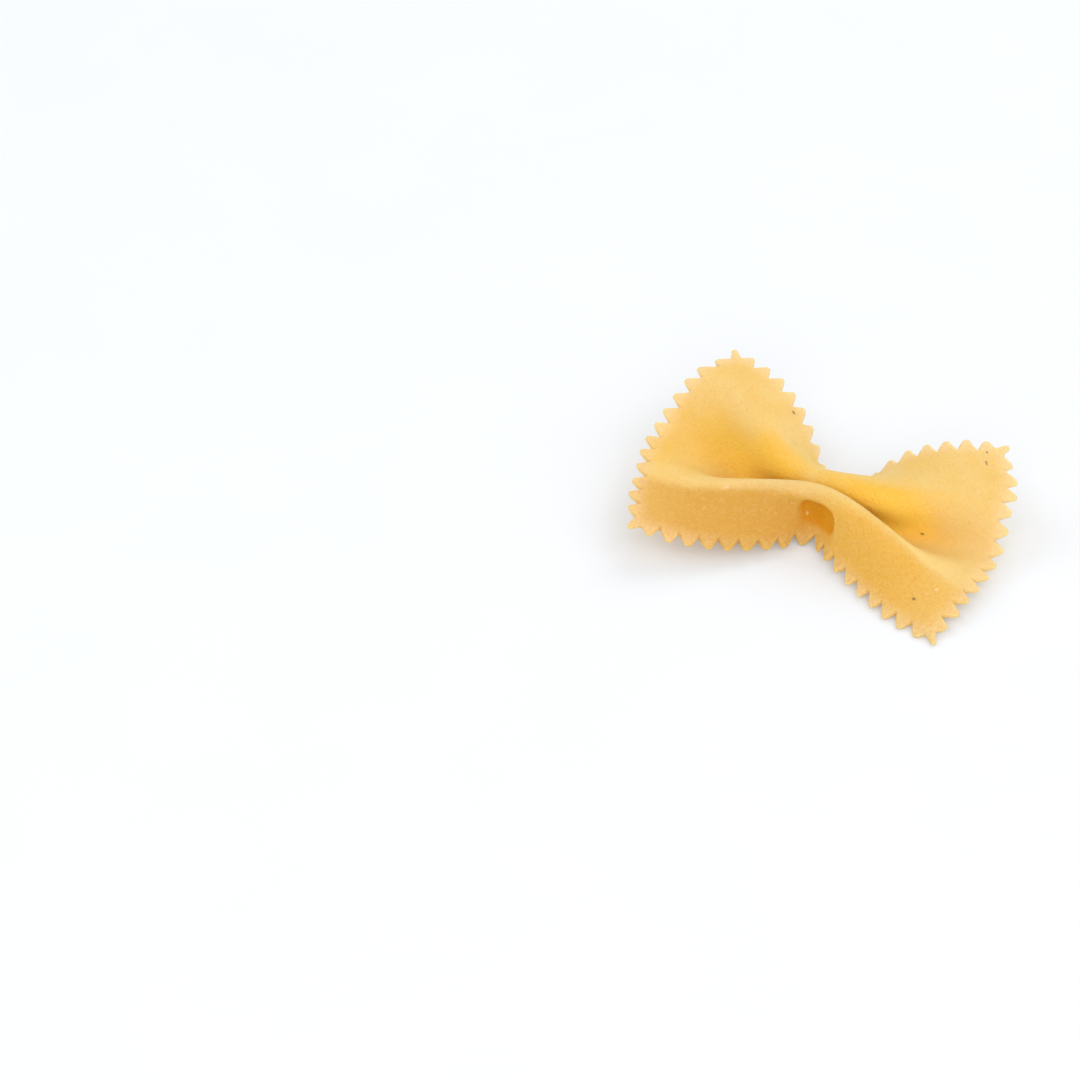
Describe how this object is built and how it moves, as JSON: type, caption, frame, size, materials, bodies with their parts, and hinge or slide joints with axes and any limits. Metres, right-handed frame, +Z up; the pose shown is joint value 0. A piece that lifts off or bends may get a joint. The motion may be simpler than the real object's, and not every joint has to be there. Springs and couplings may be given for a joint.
{
  "type": "farfalla pasta piece",
  "caption": "Dry farfalla: a thin sheet of durum pasta with pinked edges all round, pinched across its middle into a bow with a deep valley between its ridges.",
  "frame": {"origin": "on the table under the middle of the bow's box", "axes": "+X along the bow from wing to wing, +Z up from the table, the long pinked front edge towards -Y"},
  "size_m": [0.0442, 0.0308, 0.011],
  "materials": {
    "farfalla": "dry durum wheat dough, matte and slightly sandy, pale golden yellow that deepens to amber in the folds"
  },
  "bodies": {
    "root": {"farfalla": "farfalla"}
  },
  "joints": []
}
